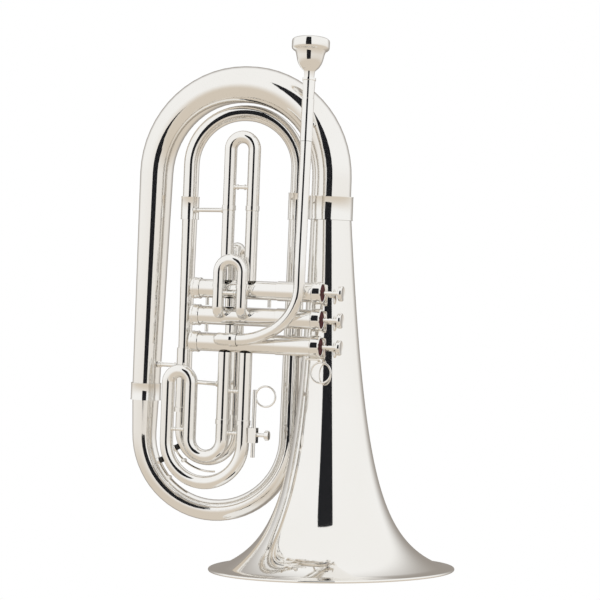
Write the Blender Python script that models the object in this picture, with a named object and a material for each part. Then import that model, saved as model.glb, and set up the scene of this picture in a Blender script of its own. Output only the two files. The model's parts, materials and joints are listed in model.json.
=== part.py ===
"""Marching baritone: a three-valve, bell-front brass horn that stands on its bell rim.

The bell's axis is vertical. Everything else lies in the wrap frame, which leans slightly over
the bell: its X runs along the valves towards the finger buttons, its Y runs away from the
player's slides, and its Z runs up along the tubes. All lengths are in metres.

The air runs: mouthpiece, leadpipe, valve 3, valve 2, valve 1, exit crook, tuning slide,
inner leg, inner bow, bottom bow, top bow, bell.
"""
import math

import bmesh
import bpy
from mathutils import Matrix, Vector

MM = 0.001
GAP = 0.3 * MM
WALL = 0.9 * MM

# Placement of the whole part: the bell's axis, and the lean of the wrap over it
BELL_X = 49.2 * MM
FERRULE_HEIGHT = 392 * MM
LEAN = math.radians(2.3)

# Bell
RIM_RADIUS = 129.4 * MM
RIM_BEAD = 1.5 * MM
BELL_LENGTH = 384.5 * MM
FLARE_START = 25 * MM
FLARE_POWER = 0.58
FLARE_TRIM = 1.1 * MM
FLARE_SLOPE = 0.0095
BELL_RINGS = 11
BELL_SIDES = 32

# Main bore: the tubes that stay fixed, named from the bell backwards
TOP_BOW_HEIGHT = 122.6 * MM
TOP_BOW_BEND = 99 * MM
TOP_BOW_RADII = (21.2 * MM, 14.9 * MM)
TOP_BOW_TAPER = 1.3
BIG_TUBE_X = -199.6 * MM
BIG_TUBE_LOW_X = -203.9 * MM
BIG_TUBE_Y = 7 * MM
LEFT_JOINT = -212.6 * MM
BOTTOM_BOW_HEIGHT = -337.7 * MM
BOTTOM_BOW_BEND = 80.8 * MM
BOTTOM_BOW_RADII = (14.7 * MM, 9.1 * MM)
BOTTOM_BOW_TAPER = 0.5
RISER_X = -41.8 * MM
RISER_Y = 17 * MM
RIGHT_JOINT = -6.2 * MM
INNER_BOW_HEIGHT = 92 * MM
INNER_BOW_BEND = 57.5 * MM
INNER_BOW_RADII = (8.7 * MM, 8.3 * MM)
INNER_LEG_X = -155.5 * MM
TUNING_Y = -8 * MM
INNER_JOINT = -12 * MM
INNER_LEG_RADII = (8.2 * MM, 6.95 * MM)
INNER_LEG_END = -172 * MM
FERRULE_WALL = 0.8 * MM

# Tuning slide and the crook that leads to it from valve 1
TUNING_RIGHT_X = -96.5 * MM
TUNING_SLEEVE = (8.3 * MM, 7.25 * MM)
TUNING_SLEEVE_TOP = -163 * MM
TUNING_SLEEVE_END = -232 * MM
TUNING_RADIUS = 6.95 * MM
TUNING_BOTTOM = -281 * MM
TUNING_TOP = -183 * MM
CROOK_RADIUS = 6.6 * MM
CROOK_X = -99 * MM
CROOK_Y = -22 * MM
CROOK_TOP = -54 * MM
CROOK_END = -180 * MM

# Valves: three alike, side by side, with their axes along X
VALVE_Y = -43.5 * MM
VALVE_HEIGHTS = (-97.5 * MM, -125.8 * MM, -154.1 * MM)
CASING_RADIUS = 9.8 * MM
CASING_BORE = 8.7 * MM
CASING_START = -134.6 * MM
CASING_STEP = -41.6 * MM
CASING_TOP_RADIUS = 10.4 * MM
CASING_END = 5.0 * MM
BOTTOM_CAP = (-136.8 * MM, -126.7 * MM)
BOTTOM_CAP_RADIUS = 11.3 * MM
TOP_CAP = (-2.4 * MM, 7.7 * MM)
TOP_CAP_RADIUS = 11.6 * MM
TOP_CAP_MOUTH = 9.2 * MM
PISTON_RADIUS = 8.5 * MM
PISTON_SPAN = (-105 * MM, -20 * MM)
STEM_RADIUS = 2.0 * MM
STEM_END = 24.3 * MM
BUTTON_SPAN = (24.6 * MM, 29.9 * MM)
BUTTON_RADIUS = 8.15 * MM
FELT_SPAN = (5.3 * MM, 6.9 * MM)
FELT_RADIUS = 8.9 * MM
SPRING_SPAN = (-134.0 * MM, -105.3 * MM)
SPRING_RADII = (7.2 * MM, 6.2 * MM)
PORT_RADIUS = 5.2 * MM
TIE_RADIUS = 1.9 * MM
TIES_1_2 = (-119.7 * MM, -50.6 * MM)
TIES_2_3 = (-119.5 * MM, -26 * MM)
LINKS = (-94 * MM, -92.5 * MM)
LINK_RADIUS = 5.6 * MM

# First slide: up from valve 1
FIRST_X = (-98.2 * MM, -72.0 * MM)
FIRST_Y = -47 * MM
FIRST_RADIUS = 6.6 * MM
FIRST_TOP = 63.6 * MM
FIRST_SPLIT = -8.5 * MM
FIRST_INNER_END = -76 * MM
FIRST_BRACE = 10.6 * MM

# Second slide: in front of valves 1 and 2
SECOND_X = (-101.3 * MM, -75.5 * MM)
SECOND_Y = -61.8 * MM
SECOND_RADIUS = 6.2 * MM
SECOND_TOP = -66.4 * MM
SECOND_SPLIT = -91.3 * MM
SECOND_INNER_END = -113 * MM
SECOND_ELBOW = -122.5 * MM
SECOND_BRACE = -101.2 * MM

# Third slide: down from valve 3, folded twice
THIRD_X = (-159.8 * MM, -134.4 * MM, -97.4 * MM, -74.6 * MM)
THIRD_RADIUS = 7.1 * MM
THIRD_BOTTOM = -303.6 * MM
THIRD_FOLD_TOP = -186.4 * MM
THIRD_FOLD_BOTTOM = -275.8 * MM
THIRD_SPLIT = -240.6 * MM
THIRD_INNER_END = -183 * MM
THIRD_SLEEVE_BRACE = -205 * MM
THIRD_BRACES = (-249.5 * MM, -248.6 * MM)

# The walls of a slide: outer tube, bore, and the inner legs that run in the sleeves
SLIDE_BORE = 4.8 * MM
INNER_LEG_STEP = 1.0 * MM
SLEEVE_PLAY = 0.4 * MM

# Leadpipe and mouthpiece
LEAD_TOP = Vector((-18.4, -37, 112)) * MM
LEAD_KNEE = Vector((-13.3, -61, -72)) * MM
LEAD_CORNER_HEIGHT = -126.1 * MM
LEAD_BEND = 55 * MM
LEAD_LOW = Vector((-63.5, -61, -150)) * MM
LEAD_LOW_BEND = 72 * MM
LEAD_END_X = -80.6 * MM
LEAD_RADIUS = 6.15 * MM
LEAD_BORE = 5.0 * MM
RECEIVER_SPAN = (60 * MM, 127.5 * MM)
RECEIVER_BORE = 5.4 * MM
ELBOW_X = -101 * MM
ELBOW_RADIUS = 6.5 * MM
LEAD_FERRULE = (-86.5 * MM, -79 * MM)
MOUTHPIECE_FOOT = 108 * MM
MOUTHPIECE_TOP = 169.4 * MM

# Finger rings and the clamp
RING_RADIUS = 10.8 * MM
RING_WIRE = 1.0 * MM
FIXED_RING = Vector((8.8, -43.5, -181)) * MM
ADJUSTABLE_RING = Vector((-50.7, -43.5, -209)) * MM
ROD_X = -62.7 * MM
ROD_RADIUS = 2.2 * MM
ROD_SPAN = (-274 * MM, -202.5 * MM)
CLAMP_LOW = Vector((-67.1, -48.5, -258.5)) * MM
CLAMP_HIGH = Vector((-58.8, -38.5, -242.6)) * MM
SCREW_HEIGHT = -250 * MM
SCREW_SHAFT = 2.1 * MM
SCREW_KNOB = 5.2 * MM
SCREW_SPAN = (-60.2 * MM, -50 * MM, -45.4 * MM)

SILVER = (0.86, 0.85, 0.82, 1.0)
MAROON = (0.10, 0.03, 0.03, 1.0)
BLACK = (0.02, 0.02, 0.02, 1.0)
STEEL = (0.55, 0.55, 0.56, 1.0)

UP = Vector((0, 0, 1))
ALONG_VALVE = Vector((1, 0, 0))
AWAY = Vector((0, 1, 0))
TINY = 0.02 * MM

# How far a bend's straight runs may cut inside its true curve
BEND_ERROR = 1.1 * MM
LARGEST_STEP = math.radians(31)


def clear_scene():
    """Remove every object."""
    for old in list(bpy.data.objects):
        bpy.data.objects.remove(old, do_unlink=True)


def material(name, colour, roughness=0.08, metallic=1.0):
    """A Principled material in one colour."""
    made = bpy.data.materials.new(name)
    made.use_nodes = True
    shader = made.node_tree.nodes["Principled BSDF"]
    shader.inputs["Base Color"].default_value = colour
    shader.inputs["Roughness"].default_value = roughness
    shader.inputs["Metallic"].default_value = metallic
    return made


def empty(name, location, parent=None):
    """An empty that carries a body, placed on its joint's axis."""
    holder = bpy.data.objects.new(name, None)
    holder.empty_display_size = 10 * MM
    bpy.context.collection.objects.link(holder)
    holder.parent = parent
    holder.location = location
    return holder


def piece(name, bm, parent, colour=SILVER, roughness=0.08, metallic=1.0):
    """A named object of its own material, from a bmesh in its parent's wrap coordinates."""
    bmesh.ops.recalc_face_normals(bm, faces=bm.faces)
    if bm.calc_volume(signed=True) < 0:
        bmesh.ops.reverse_faces(bm, faces=bm.faces)
    mesh = bpy.data.meshes.new(name)
    bm.to_mesh(mesh)
    bm.free()
    mesh.shade_smooth()
    mesh.set_sharp_from_angle(angle=math.radians(35))
    made = bpy.data.objects.new(name, mesh)
    bpy.context.collection.objects.link(made)
    made.data.materials.append(material(name, colour, roughness, metallic))
    made.parent = parent
    if parent.name not in ("wrap", "bell_axis"):
        mesh.transform(Matrix.Translation(-parent.location))
    return made


def helper(name, bm, parent):
    """A hidden object that only serves a Boolean."""
    made = piece(name, bm, parent)
    made.hide_render = True
    made.display_type = "WIRE"
    return made


def combine(target, other, operation):
    """Join a hidden helper to a piece, or cut it out, by a Boolean modifier."""
    boolean = target.modifiers.new(other.name, "BOOLEAN")
    boolean.object = other
    boolean.operation = operation
    boolean.solver = "EXACT"


def cut(target, bm, parent):
    """Cut a bmesh's solid out of a piece."""
    name = f"{target.name}.cut_{len(target.modifiers)}"
    combine(target, helper(name, bm, parent), "DIFFERENCE")


def fuse(target, bm, parent):
    """Join a bmesh's solid to a piece."""
    name = f"{target.name}.join_{len(target.modifiers)}"
    combine(target, helper(name, bm, parent), "UNION")


def route(points, bends):
    """The centre line through corner points, each inner corner rounded to its bend radius.

    A corner on a straight run gives two close points, where the radius can step.
    Returns a list of (point, direction).
    """
    points = [Vector(p) for p in points]
    line = [(points[0], (points[1] - points[0]).normalized())]
    for before, corner, after, bend in zip(points, points[1:], points[2:], bends):
        into = (corner - before).normalized()
        out = (after - corner).normalized()
        turn = into.angle(out)
        if turn < math.radians(0.5):
            line.append((corner - into * TINY, into))
            line.append((corner + into * TINY, into))
            continue
        reach = bend * math.tan(turn / 2)
        start = corner - into * reach
        axis = into.cross(out).normalized()
        centre = start + axis.cross(into) * bend
        step = min(LARGEST_STEP, 2 * math.acos(1 - BEND_ERROR / bend))
        count = max(1, math.ceil(turn / step))
        for i in range(count + 1):
            turned = Matrix.Rotation(turn * i / count, 3, axis)
            line.append((centre + turned @ (start - centre), turned @ into))
    line.append((points[-1], (points[-1] - points[-2]).normalized()))
    return line


def distances(line):
    """The length along a route at each of its points."""
    total = [0.0]
    for (a, _), (b, _) in zip(line, line[1:]):
        total.append(total[-1] + (b - a).length)
    return total


def ring_of(bm, point, direction, side, radius, sides):
    """One ring of vertices square to the direction."""
    other = direction.cross(side).normalized()
    turns = (2 * math.pi * i / sides for i in range(sides))
    return [bm.verts.new(point + (side * math.cos(t) + other * math.sin(t)) * radius) for t in turns]


def bridge(bm, first, second):
    """Faces between two rings of the same count."""
    count = len(first)
    for i in range(count):
        j = (i + 1) % count
        bm.faces.new((first[i], first[j], second[j], second[i]))


def tube(line, outer, bore=None, sides=10):
    """A pipe along a route: outer and bore are radii, or functions of the share of its length."""
    bm = bmesh.new()
    reach = distances(line)
    side = line[0][1].orthogonal().normalized()
    rings = []
    for (point, direction), length in zip(line, reach):
        side = (side - direction * side.dot(direction)).normalized()
        share = length / reach[-1]
        radius = outer(share) if callable(outer) else outer
        ring = ring_of(bm, point, direction, side, radius, sides)
        hole = bore(share) if callable(bore) else bore
        inner = ring_of(bm, point, direction, side, hole, sides) if bore else None
        rings.append((ring, inner))
    for (ring, inner), (next_ring, next_inner) in zip(rings, rings[1:]):
        bridge(bm, ring, next_ring)
        if bore:
            bridge(bm, inner, next_inner)
    for ring, inner in (rings[0], rings[-1]):
        if bore:
            bridge(bm, ring, inner)
        else:
            bm.faces.new(ring)
    return bm


def taper(start, end, power=1.0):
    """A radius that runs from start to end along a tube."""
    return lambda share: start + (end - start) * share ** power


def lathe(outline, base, direction, sides=16):
    """A turned solid: a closed outline of (radius, height), spun about a line from base."""
    bm = bmesh.new()
    direction = direction.normalized()
    side = direction.orthogonal().normalized()
    rings = []
    for radius, height in outline:
        centre = base + direction * height
        if radius < TINY:
            rings.append([bm.verts.new(centre)])
        else:
            rings.append(ring_of(bm, centre, direction, side, radius, sides))
    for ring, following in zip(rings, rings[1:] + rings[:1]):
        if len(ring) == 1 and len(following) == 1:
            continue
        if len(ring) == 1 or len(following) == 1:
            fan = following if len(ring) == 1 else ring
            tip = (ring if len(ring) == 1 else following)[0]
            for i in range(sides):
                bm.faces.new((tip, fan[i], fan[(i + 1) % sides]))
        else:
            bridge(bm, ring, following)
    return bm


def rod(start, end, radius, sides=8):
    """A solid round bar between two points."""
    return tube([(start, (end - start).normalized()), (end, (end - start).normalized())], radius, sides=sides)


def sleeve(base, direction, length, outer, inner, sides=12):
    """A plain ring or sleeve."""
    outline = [(outer, 0), (outer, length), (inner, length), (inner, 0)]
    return lathe(outline, base, direction, sides)


def block(low, high):
    """A box between two corners."""
    bm = bmesh.new()
    bmesh.ops.create_cube(bm, size=1.0)
    size = high - low
    bmesh.ops.scale(bm, vec=size, verts=bm.verts)
    bmesh.ops.translate(bm, vec=(low + high) / 2, verts=bm.verts)
    return bm


def torus(centre, radius, wire, sides=16):
    """A ring of round wire in the wrap's plane."""
    bm = bmesh.new()
    rings = []
    for i in range(sides):
        turn = 2 * math.pi * i / sides
        outward = Vector((math.cos(turn), 0, math.sin(turn)))
        along = outward.cross(AWAY)
        rings.append(ring_of(bm, centre + outward * radius, along, outward, wire, 6))
    for ring, following in zip(rings, rings[1:] + rings[:1]):
        bridge(bm, ring, following)
    return bm


def slide_tube(corners, bends, end_lengths, radius, inner_radius):
    """A slide: a bent tube whose two ends are thinner inner legs of the given lengths."""
    line = route(corners, bends)
    total = distances(line)[-1]
    first, last = end_lengths

    def outer(share):
        return inner_radius if share * total < first or share * total > total - last else radius

    return tube(line, outer, SLIDE_BORE)


def casing_cutter(height):
    """A solid the size of a valve casing, with the clearance that a fitted tube keeps."""
    start = Vector((CASING_START, VALVE_Y, height))
    end = Vector((CASING_END, VALVE_Y, height))
    return rod(start, end, CASING_RADIUS + GAP, sides=16)


def build_bell(parent):
    """The bell, with its rolled rim cut flat where it stands."""
    def flare(height):
        scale = (FLARE_START / (height + FLARE_START)) ** FLARE_POWER
        return (RIM_RADIUS + FLARE_TRIM) * scale - FLARE_TRIM - FLARE_SLOPE * height

    heights = [BELL_LENGTH * (i / BELL_RINGS) ** 2 for i in range(1, BELL_RINGS + 1)]
    outside = [(flare(h), h) for h in heights]
    inside = [(flare(h) - WALL, h) for h in reversed(heights)]
    bead = [(RIM_RADIUS - RIM_BEAD, 0), (RIM_RADIUS + RIM_BEAD / 2, 0),
            (RIM_RADIUS + RIM_BEAD, RIM_BEAD), (RIM_RADIUS, 2 * RIM_BEAD)]
    foot = [(RIM_RADIUS - 2.2 * RIM_BEAD, RIM_BEAD)]
    outline = bead[1:] + outside[1:] + inside[:-1] + foot + bead[:1]
    return piece("bell", lathe(outline, Vector((0, 0, 0)), UP, BELL_SIDES), parent)


def build_main_bore(wrap):
    """The fixed tubes from the bell back to the tuning slide, with their ferrules."""
    top = route([(0, 0, BELL_LENGTH - FERRULE_HEIGHT + 4 * GAP), (0, 0, TOP_BOW_HEIGHT),
                 (BIG_TUBE_X, BIG_TUBE_Y, TOP_BOW_HEIGHT),
                 (BIG_TUBE_LOW_X, BIG_TUBE_Y, LEFT_JOINT + GAP)],
                [TOP_BOW_BEND, TOP_BOW_BEND])
    outer = taper(*TOP_BOW_RADII, TOP_BOW_TAPER)
    piece("top_bow", tube(top, outer, lambda share: outer(share) - WALL, 14), wrap)
    bottom = route([(BIG_TUBE_LOW_X, BIG_TUBE_Y, LEFT_JOINT), (BIG_TUBE_LOW_X, BIG_TUBE_Y, BOTTOM_BOW_HEIGHT),
                    (RISER_X, RISER_Y, BOTTOM_BOW_HEIGHT), (RISER_X, RISER_Y, RIGHT_JOINT - GAP)],
                   [BOTTOM_BOW_BEND, BOTTOM_BOW_BEND])
    outer_low = taper(*BOTTOM_BOW_RADII, BOTTOM_BOW_TAPER)
    piece("bottom_bow", tube(bottom, outer_low, lambda share: outer_low(share) - WALL, 12), wrap)
    inner = route([(RISER_X, RISER_Y, RIGHT_JOINT), (RISER_X, RISER_Y, INNER_BOW_HEIGHT),
                   (INNER_LEG_X, TUNING_Y, INNER_BOW_HEIGHT), (INNER_LEG_X, TUNING_Y, INNER_JOINT)],
                  [INNER_BOW_BEND, INNER_BOW_BEND])
    outer_inner = taper(*INNER_BOW_RADII)
    piece("inner_bow", tube(inner, outer_inner, lambda share: outer_inner(share) - WALL, 10), wrap)
    leg = route([(INNER_LEG_X, TUNING_Y, INNER_JOINT - GAP), (INNER_LEG_X, TUNING_Y, INNER_LEG_END)], [])
    outer_leg = taper(*INNER_LEG_RADII)
    piece("inner_leg", tube(leg, outer_leg, lambda share: outer_leg(share) - WALL, 10), wrap)
    build_ferrule("bell_ferrule", wrap, (0, 0, -20 * MM), 25 * MM, 23.0 * MM)
    build_ferrule("left_ferrule", wrap, (BIG_TUBE_LOW_X, BIG_TUBE_Y, -222 * MM), 18.5 * MM, 15.7 * MM)
    build_ferrule("right_ferrule", wrap, (RISER_X, RISER_Y, -20.7 * MM), 29 * MM, 9.8 * MM)
    build_ferrule("inner_ferrule", wrap, (INNER_LEG_X, TUNING_Y, -24.3 * MM), 24.5 * MM, 9.1 * MM)


def build_ferrule(name, wrap, base, length, inner):
    """A sleeve over the joint of two tubes."""
    ring = sleeve(Vector(base), UP, length, inner + FERRULE_WALL, inner, 16)
    return piece(name, ring, wrap)


def build_tuning_sleeves(wrap):
    """The two sleeves that the tuning slide runs in, and the crook from valve 1."""
    length = TUNING_SLEEVE_TOP - TUNING_SLEEVE_END
    for side, x in (("left", INNER_LEG_X), ("right", TUNING_RIGHT_X)):
        base = Vector((x, TUNING_Y, TUNING_SLEEVE_END))
        piece(f"tuning_sleeve_{side}", sleeve(base, UP, length, *TUNING_SLEEVE), wrap)
    height = VALVE_HEIGHTS[0]
    line = route([(CROOK_X, VALVE_Y + CASING_RADIUS - 2 * MM, height), (CROOK_X, CROOK_Y, height),
                  (CROOK_X, CROOK_Y, CROOK_TOP), (TUNING_RIGHT_X, TUNING_Y, CROOK_TOP),
                  (TUNING_RIGHT_X, TUNING_Y, CROOK_END)],
                 [7.2 * MM, 7.05 * MM, 7.05 * MM])
    crook = piece("exit_crook", tube(line, CROOK_RADIUS, CROOK_RADIUS - WALL, 10), wrap)
    cut(crook, casing_cutter(height), wrap)


def build_valves(wrap):
    """Three valves: casing, caps, piston with its stem, finger button, felt and spring."""
    for number, height in enumerate(VALVE_HEIGHTS, start=1):
        axis = Vector((0, VALVE_Y, height))
        outline = [(CASING_RADIUS, CASING_START), (CASING_RADIUS, CASING_STEP),
                   (CASING_TOP_RADIUS, CASING_STEP), (CASING_TOP_RADIUS, CASING_END),
                   (CASING_BORE, CASING_END), (CASING_BORE, CASING_START)]
        casing = piece(f"valve_casing_{number}", lathe(outline, axis, ALONG_VALVE, 16), wrap)
        if number < len(VALVE_HEIGHTS):
            build_ties(casing, number, height, wrap)
        build_caps(number, axis, wrap)
        body = empty(f"valve_{number}", axis, wrap)
        build_piston(number, axis, body, wrap)


def build_ties(casing, number, height, wrap):
    """The posts and the link tube that hold one casing to the next, fused to the first."""
    top = height - CASING_RADIUS + WALL / 2
    for x in TIES_1_2 if number == 1 else TIES_2_3:
        reach = VALVE_HEIGHTS[number] + CASING_TOP_RADIUS + GAP
        post = rod(Vector((x, VALVE_Y, top)), Vector((x, VALVE_Y, reach)), TIE_RADIUS, 10)
        fuse(casing, post, wrap)
    x = LINKS[number - 1]
    reach = VALVE_HEIGHTS[number] + CASING_RADIUS + GAP
    inside = height - CASING_RADIUS + 2 * MM
    fuse(casing, rod(Vector((x, VALVE_Y, inside)), Vector((x, VALVE_Y, reach)), LINK_RADIUS, 10), wrap)
    low = Vector((CASING_START - MM, VALVE_Y, height))
    high = Vector((CASING_END + MM, VALVE_Y, height))
    cut(casing, rod(low, high, CASING_BORE - 0.05 * MM, 16), wrap)


def build_caps(number, axis, wrap):
    """The screwed caps at both ends of a casing."""
    start, end = BOTTOM_CAP
    inner = CASING_RADIUS + GAP
    floor = CASING_START - GAP
    outline = [(0, start), (BOTTOM_CAP_RADIUS - MM, start), (BOTTOM_CAP_RADIUS, start + MM),
               (BOTTOM_CAP_RADIUS, end), (inner, end), (inner, floor), (0, floor)]
    piece(f"bottom_cap_{number}", lathe(outline, axis, ALONG_VALVE), wrap)
    start, end = TOP_CAP
    inner = CASING_TOP_RADIUS + GAP
    outline = [(inner, start), (TOP_CAP_RADIUS, start), (TOP_CAP_RADIUS, end - MM),
               (TOP_CAP_RADIUS - MM, end), (TOP_CAP_MOUTH, end), (TOP_CAP_MOUTH, CASING_END + GAP),
               (inner, CASING_END + GAP)]
    piece(f"top_cap_{number}", lathe(outline, axis, ALONG_VALVE), wrap)


def build_piston(number, axis, body, wrap):
    """What moves in one valve, and the felt and spring it works against."""
    start, end = PISTON_SPAN
    outline = [(0, start), (PISTON_RADIUS, start), (PISTON_RADIUS, end), (STEM_RADIUS, end),
               (STEM_RADIUS, STEM_END), (0, STEM_END)]
    piston = piece(f"piston_{number}", lathe(outline, axis, ALONG_VALVE), body)
    for x in (LINKS[0], LINKS[0] + 26 * MM, LINKS[0] + 52 * MM):
        low = axis + Vector((x, 0, -2 * PISTON_RADIUS))
        high = axis + Vector((x, 0, 2 * PISTON_RADIUS))
        cut(piston, rod(low, high, PORT_RADIUS, 8), wrap)
    start, end = BUTTON_SPAN
    outline = [(0, start), (BUTTON_RADIUS - MM, start), (BUTTON_RADIUS, start + MM),
               (BUTTON_RADIUS, end - MM), (BUTTON_RADIUS - MM, end), (4 * MM, end - 0.6 * MM),
               (0, end - 0.8 * MM)]
    piece(f"finger_button_{number}", lathe(outline, axis, ALONG_VALVE), body)
    low, high = FELT_SPAN
    felt = sleeve(axis + ALONG_VALVE * low, ALONG_VALVE, high - low, FELT_RADIUS, STEM_RADIUS + GAP, 12)
    piece(f"valve_felt_{number}", felt, wrap, MAROON, 0.8, 0.0)
    low, high = SPRING_SPAN
    spring = sleeve(axis + ALONG_VALVE * low, ALONG_VALVE, high - low, *SPRING_RADII)
    piece(f"valve_spring_{number}", spring, wrap, STEEL, 0.3)


def build_first_slide(wrap):
    """The first slide, up from valve 1, and the two sleeves it runs in."""
    left, right = FIRST_X
    radius = FIRST_RADIUS - INNER_LEG_STEP
    height = VALVE_HEIGHTS[0]
    for side, x in (("left", left), ("right", right)):
        base = Vector((x, FIRST_Y, height))
        bore = radius + SLEEVE_PLAY
        made = piece(f"first_sleeve_{side}",
                     sleeve(base, UP, FIRST_SPLIT - GAP - height, FIRST_RADIUS, bore), wrap)
        cut(made, casing_cutter(height), wrap)
    centre = (left + right) / 2
    bend = (right - left) / 2 - TINY
    body = empty("first_slide_body", Vector((centre, FIRST_Y, FIRST_SPLIT)), wrap)
    corners = [(left, FIRST_Y, FIRST_INNER_END), (left, FIRST_Y, FIRST_SPLIT), (left, FIRST_Y, FIRST_TOP),
               (right, FIRST_Y, FIRST_TOP), (right, FIRST_Y, FIRST_SPLIT), (right, FIRST_Y, FIRST_INNER_END)]
    length = FIRST_SPLIT - FIRST_INNER_END
    slide = piece("first_slide", slide_tube(corners, [0, bend, bend, 0], (length, length),
                                            FIRST_RADIUS, radius), body)
    start = Vector((left + FIRST_RADIUS - WALL, FIRST_Y, FIRST_BRACE))
    end = Vector((right - FIRST_RADIUS + WALL, FIRST_Y, FIRST_BRACE))
    fuse(slide, rod(start, end, 2.0 * MM, 10), wrap)


def build_second_slide(wrap):
    """The second slide, in front of the valves, with its sleeves and their bar."""
    left, right = SECOND_X
    radius = SECOND_RADIUS - INNER_LEG_STEP + 0.1 * MM
    height = VALVE_HEIGHTS[1]
    tubes = []
    for x in (left, right):
        line = route([(x, SECOND_Y, SECOND_SPLIT - GAP), (x, SECOND_Y, SECOND_ELBOW),
                      (x, VALVE_Y - CASING_RADIUS + 2 * MM, SECOND_ELBOW)], [7 * MM])
        tubes.append(tube(line, SECOND_RADIUS, radius + SLEEVE_PLAY))
    made = piece("second_slide_sleeves", tubes[0], wrap)
    start = Vector((left + SECOND_RADIUS - WALL / 4, SECOND_Y, SECOND_BRACE))
    end = Vector((right - SECOND_RADIUS + WALL / 4, SECOND_Y, SECOND_BRACE))
    fuse(made, rod(start, end, 2.0 * MM, 10), wrap)
    fuse(made, tubes[1], wrap)
    cut(made, casing_cutter(height), wrap)
    bend = (right - left) / 2 - TINY
    body = empty("second_slide_body", Vector(((left + right) / 2, SECOND_Y, SECOND_SPLIT)), wrap)
    corners = [(left, SECOND_Y, SECOND_INNER_END), (left, SECOND_Y, SECOND_SPLIT),
               (left, SECOND_Y, SECOND_TOP), (right, SECOND_Y, SECOND_TOP),
               (right, SECOND_Y, SECOND_SPLIT), (right, SECOND_Y, SECOND_INNER_END)]
    length = SECOND_SPLIT - SECOND_INNER_END
    piece("second_slide", slide_tube(corners, [0, bend, bend, 0], (length, length),
                                     SECOND_RADIUS, radius), body)


def build_third_slide(wrap):
    """The folded third slide, its sleeves, and the ring clamped to it."""
    outer_left, middle, left, right = THIRD_X
    radius = THIRD_RADIUS - INNER_LEG_STEP
    height = VALVE_HEIGHTS[2]
    sleeves = [sleeve(Vector((x, VALVE_Y, THIRD_SPLIT)), UP, height - THIRD_SPLIT, THIRD_RADIUS,
                      radius + SLEEVE_PLAY) for x in (left, right)]
    made = piece("third_slide_sleeves", sleeves[0], wrap)
    start = Vector((left + THIRD_RADIUS - WALL / 2, VALVE_Y, THIRD_SLEEVE_BRACE))
    end = Vector((right - THIRD_RADIUS + WALL / 2, VALVE_Y, THIRD_SLEEVE_BRACE))
    fuse(made, rod(start, end, 1.6 * MM, 10), wrap)
    fuse(made, sleeves[1], wrap)
    cut(made, casing_cutter(height), wrap)
    split = THIRD_SPLIT - GAP
    body = empty("third_slide_body", Vector(((left + right) / 2, VALVE_Y, split)), wrap)
    corners = [(right, VALVE_Y, THIRD_INNER_END), (right, VALVE_Y, split), (right, VALVE_Y, THIRD_BOTTOM),
               (outer_left, VALVE_Y, THIRD_BOTTOM), (outer_left, VALVE_Y, THIRD_FOLD_TOP),
               (middle, VALVE_Y, THIRD_FOLD_TOP), (middle, VALVE_Y, THIRD_FOLD_BOTTOM),
               (left, VALVE_Y, THIRD_FOLD_BOTTOM), (left, VALVE_Y, split), (left, VALVE_Y, THIRD_INNER_END)]
    large = (right - outer_left) / 2 - TINY
    fold = (middle - outer_left) / 2 - TINY
    small = (left - middle) / 2 - TINY
    length = THIRD_INNER_END - split
    slide = piece("third_slide", slide_tube(corners, [0, large, large, fold, fold, small, small, 0],
                                            (length, length), THIRD_RADIUS, radius), body)
    for low, high, brace in ((left, right, THIRD_BRACES[0]), (outer_left, middle, THIRD_BRACES[1])):
        start = Vector((low + THIRD_RADIUS - WALL, VALVE_Y, brace))
        end = Vector((high - THIRD_RADIUS + WALL, VALVE_Y, brace))
        fuse(slide, rod(start, end, 1.6 * MM, 10), wrap)
    build_ring_and_clamp(body, wrap)


def build_ring_and_clamp(body, wrap):
    """The adjustable finger ring on its rod, the clamp block it slides in, and the thumb screw."""
    clamp = piece("ring_clamp", block(CLAMP_LOW, CLAMP_HIGH), body)
    low = Vector((ROD_X, VALVE_Y, ROD_SPAN[0]))
    high = Vector((ROD_X, VALVE_Y, ROD_SPAN[1]))
    cut(clamp, rod(low, high, ROD_RADIUS + 0.1 * MM), wrap)
    ring_body = empty("ring_body", Vector((ROD_X, VALVE_Y, SCREW_HEIGHT)), body)
    ring_body.location -= body.location
    shaft = rod(low, high, ROD_RADIUS)
    bmesh.ops.translate(shaft, vec=-body.location, verts=shaft.verts)
    ring = piece("ring_rod", shaft, ring_body)
    wire = torus(ADJUSTABLE_RING, RING_RADIUS, RING_WIRE)
    fuse(ring, wire, wrap)
    start, neck, end = SCREW_SPAN
    axis = Vector((0, VALVE_Y, SCREW_HEIGHT))
    outline = [(0, start + 2 * MM), (SCREW_SHAFT, start + 2 * MM), (SCREW_SHAFT, neck), (SCREW_KNOB, neck),
               (SCREW_KNOB, end), (0, end)]
    screw_body = empty("screw_body", axis - body.location, body)
    screw = lathe(outline, axis, ALONG_VALVE, 14)
    bmesh.ops.translate(screw, vec=-body.location, verts=screw.verts)
    piece("thumb_screw", screw, screw_body)


def build_tuning_slide(wrap):
    """The main tuning slide, behind the third slide."""
    body = empty("tuning_slide_body", Vector((INNER_LEG_X, TUNING_Y, TUNING_SLEEVE_END)), wrap)
    bend = (TUNING_RIGHT_X - INNER_LEG_X) / 2 - TINY
    line = route([(INNER_LEG_X, TUNING_Y, TUNING_TOP), (INNER_LEG_X, TUNING_Y, TUNING_BOTTOM),
                  (TUNING_RIGHT_X, TUNING_Y, TUNING_BOTTOM), (TUNING_RIGHT_X, TUNING_Y, TUNING_TOP)],
                 [bend, bend])
    piece("tuning_slide", tube(line, TUNING_RADIUS, TUNING_RADIUS - 1.2 * MM, 12), body)


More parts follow.
